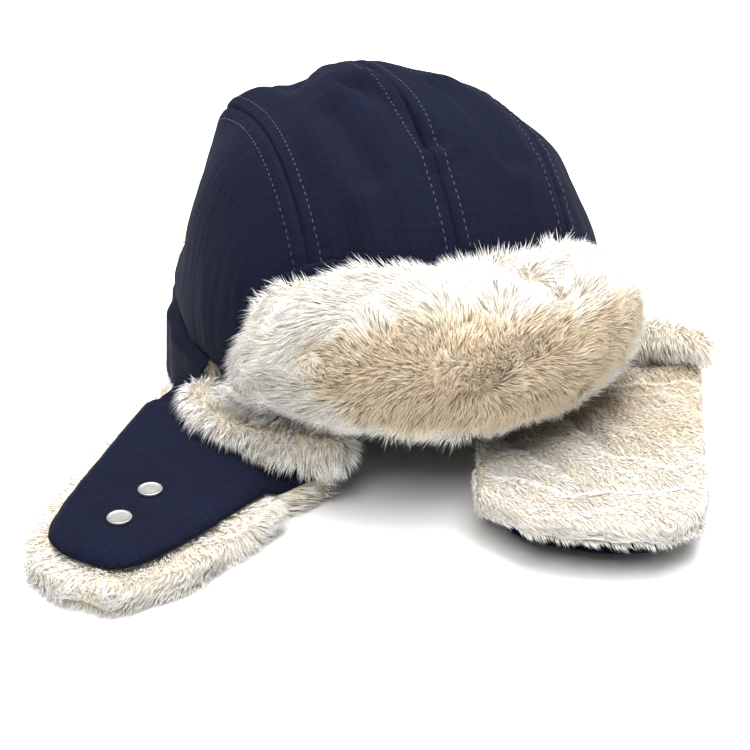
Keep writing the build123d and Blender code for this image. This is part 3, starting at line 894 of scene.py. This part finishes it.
for name, (nodes, body, options) in SKINS.items():
    skins[name] = fur_skin(name, nodes, body, **options)


def surface_tree(pieces):
    """A search tree over the surfaces of pieces."""
    points, faces, start = [], [], 0
    for piece in pieces:
        piece.data.calc_loop_triangles()
        triangles = np.empty(len(piece.data.loop_triangles) * 3, np.int32)
        piece.data.loop_triangles.foreach_get("vertices", triangles)
        points.append(mesh_points(piece))
        faces.append(triangles.reshape(-1, 3) + start)
        start += len(points[-1])
    return BVHTree.FromPolygons(np.concatenate(points).tolist(), np.concatenate(faces).tolist())


CLOTH_PIECES = [*crown_pieces, band_cotton, brim_cotton, left_fold_cotton, right_cotton, left_cotton,
                neck_cotton]
cloth_tree = surface_tree(CLOTH_PIECES)
solid_tree = surface_tree([*CLOTH_PIECES, *skins.values()])


def scatter(piece, density, draw):
    """Random points over a piece's faces, with the surface's smooth directions there."""
    mesh = piece.data
    mesh.calc_loop_triangles()
    triangles = np.empty(len(mesh.loop_triangles) * 3, np.int32)
    mesh.loop_triangles.foreach_get("vertices", triangles)
    triangles = triangles.reshape(-1, 3)
    points, normals = mesh_points(piece), mesh_normals(piece)
    a, b, c = (points[triangles[:, k]] for k in range(3))
    areas = np.linalg.norm(np.cross(b - a, c - a), axis=1) / 2
    count = int(areas.sum() * density)
    chosen = draw.choice(len(triangles), count, p=areas / areas.sum())
    r, s = np.sqrt(draw.random(count)), draw.random(count)
    weights = np.stack([1 - r, r * (1 - s), r * s], 1)
    corners = triangles[chosen]
    roots = (points[corners] * weights[:, :, None]).sum(1)
    return roots, unit((normals[corners] * weights[:, :, None]).sum(1))


def free_length(roots, normals, headings, lengths):
    """Each strand's length until it meets cloth; 0 for a strand that starts under cover."""
    free = lengths.copy()
    for k in range(len(roots)):
        start = Vector(roots[k])
        normal = Vector(normals[k])
        if solid_tree.ray_cast(start + normal * 0.8 * MM, normal, 2.4 * MM)[0] is not None:
            free[k] = 0
            continue
        hit = cloth_tree.ray_cast(start + normal * 0.2 * MM, Vector(headings[k]), lengths[k])
        if hit[0] is not None:
            free[k] = hit[3] * 0.9 if hit[3] > 2.5 * MM else 0
    return free


PIECE_STRANDS = 19500
SQUARE_CM = 1e4  # square centimetres in a square metre


def grow(name, skin, body, density, length, comb, tone, lift=0.45, swirl=0.3, droop=0.15,
         clump=0.32, width=0.42 * MM, jitter=0.1, sort_by=0):
    """Grows tapered strands over a skin, in pieces of a limited size.

    comb(points) is the way the pile is brushed, tone(points) is 0 for tan to 1 for white, length and
    lift are numbers or functions of points, and density is strands to a square centimetre.
    """
    draw = np.random.default_rng(sum(map(ord, name)) + 7)
    roots, normals = scatter(skin, density * SQUARE_CM, draw)
    count = len(roots)
    lengths = (length(roots) if callable(length) else np.full(count, length))
    lengths = lengths * draw.uniform(0.7, 1.12, count) * (1 + 0.18 * ripple(roots, 9 * MM, 51))
    lifts = (lift(roots) if callable(lift) else np.full(count, lift))[:, None]
    eddies = np.stack([ripple(roots, 22 * MM, 52 + k) for k in range(3)], 1)
    brushed = comb(roots) + swirl * eddies
    brushed = unit(brushed - (brushed * normals).sum(1, keepdims=True) * normals)
    headings = unit(normals * lifts + brushed * (1 - lifts) + jitter * draw.normal(size=(count, 3)))
    lengths = free_length(roots, normals, headings, lengths)
    kept = lengths > 0
    roots, normals, headings, lengths = roots[kept], normals[kept], headings[kept], lengths[kept]
    brushed = brushed[kept]
    count = len(roots)
    bent = unit(headings + 0.45 * brushed - droop * np.array([0, 0, 1.0]))
    middles = roots + headings * (0.5 * lengths)[:, None]
    tips = middles + bent * (0.5 * lengths)[:, None]
    leaders = draw.choice(count, max(count // 26, 1), replace=False)
    tree = KDTree(len(leaders))
    for k, leader in enumerate(leaders):
        tree.insert(roots[leader], k)
    tree.balance()
    nearest = leaders[[tree.find(root)[1] for root in roots]]
    pull = (clump * draw.uniform(0.3, 1, count))[:, None]
    middles += (middles[nearest] - middles) * pull * 0.35
    tips += (tips[nearest] - tips) * pull
    for row in (middles, tips):
        row[:, 2] = np.maximum(row[:, 2], LOWEST_FIBRE)
    side = unit(np.cross(headings, draw.normal(size=(count, 3))))
    other = np.cross(headings, side)
    girth = width / 2 * draw.uniform(0.75, 1.2, count)[:, None]
    rings = []
    for centre, share in ((roots, 1.0), (middles, 0.85)):
        for turn in (0, 2 * pi / 3, 4 * pi / 3):
            rings.append(centre + (side * cos(turn) + other * sin(turn)) * girth * share)
    points = np.stack([*rings, tips], 1)
    shade = np.floor(tone(roots) * (len(SHADES) - 1) + draw.normal(size=count) * 0.5)
    shade = np.clip(shade, 0, len(SHADES) - 2).astype(int) + TAN
    triangles = np.array([(0, 1, 4), (0, 4, 3), (1, 2, 5), (1, 5, 4), (2, 0, 3), (2, 3, 5), (0, 2, 1),
                          (3, 4, 6), (4, 5, 6), (5, 3, 6)])
    order = np.argsort(roots[:, sort_by])
    pieces = []
    parts = np.array_split(order, int(np.ceil(count / PIECE_STRANDS)))
    for number, part in enumerate(parts):
        label = f"{name}_{number + 1}" if len(parts) > 1 else name
        faces = triangles[None] + 7 * np.arange(len(part))[:, None, None]
        strand_piece = make_object(label, points[part].reshape(-1, 3), faces.reshape(-1, 3), SHADES)
        under = np.maximum(shade[part] - 1, ROOT)
        slots = np.concatenate([np.repeat(under[:, None], 7, 1), np.repeat(shade[part][:, None], 3, 1)], 1)
        strand_piece.data.polygons.foreach_set("material_index", slots.ravel().astype(np.int32))
        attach(strand_piece, body)
        pieces.append(strand_piece)
    return pieces


def from_centre(centre, stretch=(1, 1, 1)):
    """Pile brushed outwards from one place."""
    return lambda points: unit((points - np.array(centre) * MM) * stretch)


brim_low, brim_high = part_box("brim_fur")
BRIM_MIDDLE_Z = (brim_low.z + brim_high.z) / 2
BRIM_REACH = brim_high.x


def brim_place(points):
    """How far out on the brim's front a point is: 0 at the middle, 1 at its edge."""
    along = (points[:, 0] - 0.06 * BRIM_REACH) / (0.80 * BRIM_REACH)
    up_down = (points[:, 2] - BRIM_MIDDLE_Z + 3 * MM) / (0.62 * (brim_high.z - BRIM_MIDDLE_Z))
    return np.sqrt(np.abs(along) ** 3 + up_down**2) + 0.16 * ripple(points, 24 * MM, 61)


def brim_tone(points):
    edge = step(brim_place(points), 0.75, 1.25)
    return 0.10 + 0.70 * edge + 0.16 * ripple(points, 12 * MM, 62) * (1 - edge)


def brim_length(points):
    return (7.0 + 3.5 * step(brim_place(points), 0.8, 1.3)) * MM


def brim_lift(points):
    return 0.62 - 0.27 * step(brim_place(points), 0.8, 1.25)


def pale(low, high, wavelength=16 * MM, seed=63):
    """Mottled tone between two values."""
    return lambda points: low + (high - low) * (0.5 + 0.5 * ripple(points, wavelength, seed))


grow("brim_strands", skins["brim_pile"], "brim", 240, brim_length,
     from_centre((4, -112, 64), (0.9, 0.6, 1.7)), brim_tone, brim_lift, swirl=0.75, clump=0.22,
     width=0.28 * MM)


def roll_comb(points):
    """The rolls' pile stands out all round them and falls forwards and down."""
    return np.array([-0.15, -0.5, -0.5]) + 0 * points


grow("right_roll_strands", skins["right_roll_pile"], "crown", 150, 10 * MM, roll_comb,
     pale(0.75, 1.1), 0.6, width=0.3 * MM)
grow("left_roll_strands", skins["left_roll_pile"], "crown", 110, 9 * MM, roll_comb,
     pale(0.55, 0.9), 0.55)

right_middle = right_place[0] + right_place[1] * 25 * MM + right_place[2] * 45 * MM
right_comb = from_centre(tuple(right_middle / MM), (1, 1, 0.3))
grow("right_flap_strands", skins["right_flap_pile"], "right_ear_flap", 150, 6 * MM, right_comb,
     pale(0.8, 1.1), 0.45, swirl=0.12, clump=0.25, width=0.3 * MM, jitter=0.07)
grow("right_fold_strands", skins["right_fold_pile"], "crown", 60, 9 * MM, right_comb,
     pale(0.55, 0.95), 0.45)


def left_comb(points):
    """The left flap's pile lies across it and towards its tip."""
    return left_place[1] * 0.9 + left_place[2] * 0.5 + 0 * points


def left_tone(points):
    rise = points - left_place[0]
    # Painted shade: the pile's tone drops towards the fold, where the flap runs under the brim. The ripple
    # is the pile's own mottle.
    inner = step(120 * MM - rise @ left_place[1], 0, 60 * MM)
    return 0.92 - 0.42 * inner + 0.12 * ripple(points, 26 * MM, 64)


grow("left_flap_strands", skins["left_flap_pile"], "left_ear_flap", 190, 5.5 * MM, left_comb,
     left_tone, 0.33, swirl=0.08, droop=0.0, clump=0.15, width=0.3 * MM, jitter=0.05)
grow("left_fold_strands", skins["left_fold_pile"], "crown", 60, 8 * MM, left_comb, pale(0.5, 0.9), 0.5)

neck_middle = neck_place[0] + neck_place[1] * 14 * MM
neck_comb = from_centre(tuple(neck_middle / MM), (1, 1, 0.3))
grow("neck_flap_strands", skins["neck_flap_pile"], "neck_flap", 70, 10 * MM, neck_comb,
     pale(0.55, 0.95), 0.45)
grow("neck_fold_strands", skins["neck_fold_pile"], "crown", 50, 8 * MM, neck_comb, pale(0.55, 0.95), 0.45)


def downwards(points):
    return np.array([0, 0, -1.0]) + 0 * points


grow("band_strands", skins["band_pile"], "crown", 55, 8 * MM, downwards, pale(0.45, 0.85), 0.5)


# ---- snaps --------------------------------------------------------------------------------------
def turned_piece(name, profile, centres, place, body, material, steps=56):
    """Round pieces turned from a half section of (radius, height) points, at centres in a frame."""
    section = np.array(profile) * MM
    angles = np.linspace(0, 2 * pi, steps, endpoint=False)
    rows = len(section)
    origin, x_way, y_way, z_way = place
    points, faces = [], []
    for number, (u, v) in enumerate(centres):
        base = number * rows * steps
        for angle in angles:
            for radius, level in section:
                points.append(origin + x_way * (u + radius * cos(angle)) + y_way * (v + radius * sin(angle))
                              + z_way * level)
        for k in range(steps):
            after = (k + 1) % steps
            for row in range(rows - 1):
                faces.append((base + k * rows + row, base + k * rows + row + 1,
                              base + after * rows + row + 1, base + after * rows + row))
    piece = make_object(name, np.array(points), np.array(faces)[:, ::-1], [material])
    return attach(piece, body)


RIM, POST = CAP_RADIUS / MM, 1.6
CAP_PROFILE = [(0.02, 10.55), (RIM - 1.8, 10.6), (RIM - 0.9, 10.62), (RIM - 0.55, 10.78),
               (RIM - 0.25, 10.8), (RIM, 10.55), (RIM + 0.02, 10.1), (RIM - 0.15, 9.4),
               (RIM - 0.8, 9.2), (POST, 9.1), (POST, 4.7), (0.02, 4.7)]
caps = turned_piece("right_flap_snap_caps", CAP_PROFILE, RIGHT_SNAPS, right_place, "right_ear_flap",
                    steel)
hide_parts("right_flap_snap_caps")
for node in ("right_flap_snap_sockets", "left_flap_snap_studs", "left_flap_snap_posts"):
    for slot_of_material in frame["nodes"][node].material_slots:
        slot_of_material.material = steel


# ---- floor, light and camera ----------------------------------------------------------------------
def floor_material():
    n = Nodes("pale_floor")
    where = n.add("ShaderNodeTexCoord").outputs["Object"]
    mottle = n.noise(where, 14.0, 3.0)
    colour = n.ramp(mottle, [(0.3, (0.90, 0.90, 0.90)), (0.7, (0.92, 0.92, 0.92))])
    return n.finish(Base_Color=colour, Roughness=0.9, Specular_IOR_Level=0.1)


FLOOR_REACH = 4.0
corners = [(x * FLOOR_REACH, y * FLOOR_REACH, 0) for x, y in ((-1, -1), (1, -1), (1, 1), (-1, 1))]
floor = make_object("floor", np.array(corners), [(0, 1, 2, 3)], [floor_material()], smooth=False)


def area_light(name, place, size, power, target=(0, 0, 0.05)):
    """A soft square light that faces a target."""
    light = bpy.data.lights.new(name, "AREA")
    light.size = size
    light.energy = power
    lamp = bpy.data.objects.new(name, light)
    lamp.location = place
    lamp.rotation_euler = (Vector(target) - Vector(place)).to_track_quat("-Z", "Y").to_euler()
    bpy.context.scene.collection.objects.link(lamp)


area_light("key_above", (0.10, 0.30, 1.45), 1.3, 34, target=(0, -0.05, 0))
area_light("front_fill", (-0.75, -1.1, 1.7), 0.9, 19)

sun = bpy.data.lights.new("soft_overhead", "SUN")
sun.energy = 2.3
sun.angle = radians(36)
overhead = bpy.data.objects.new("soft_overhead", sun)
overhead.rotation_euler = (radians(12), radians(6), 0)
bpy.context.scene.collection.objects.link(overhead)

world = bpy.data.worlds.new("studio")
world.use_nodes = True
world.node_tree.nodes["Background"].inputs["Color"].default_value = (1, 1, 1, 1)
world.node_tree.nodes["Background"].inputs["Strength"].default_value = 0.26
bpy.context.scene.world = world
bpy.context.scene.view_settings.view_transform = "Standard"

CAMERA_AZIMUTH = radians(-17)
CAMERA_ELEVATION = radians(27.75)
CAMERA_DISTANCE = 0.80
CAMERA_TARGET = Vector((-4.7, 0, -0.35)) * MM
away = Vector((sin(CAMERA_AZIMUTH) * cos(CAMERA_ELEVATION), -cos(CAMERA_AZIMUTH) * cos(CAMERA_ELEVATION),
               sin(CAMERA_ELEVATION)))
camera_data = bpy.data.cameras.new("camera")
camera_data.lens = 85
camera_data.sensor_width = 36
camera_data.clip_start = 0.05
camera = bpy.data.objects.new("camera", camera_data)
camera.location = CAMERA_TARGET + away * CAMERA_DISTANCE
camera.rotation_euler = (-away).to_track_quat("-Z", "Y").to_euler()
bpy.context.scene.collection.objects.link(camera)
bpy.context.scene.camera = camera
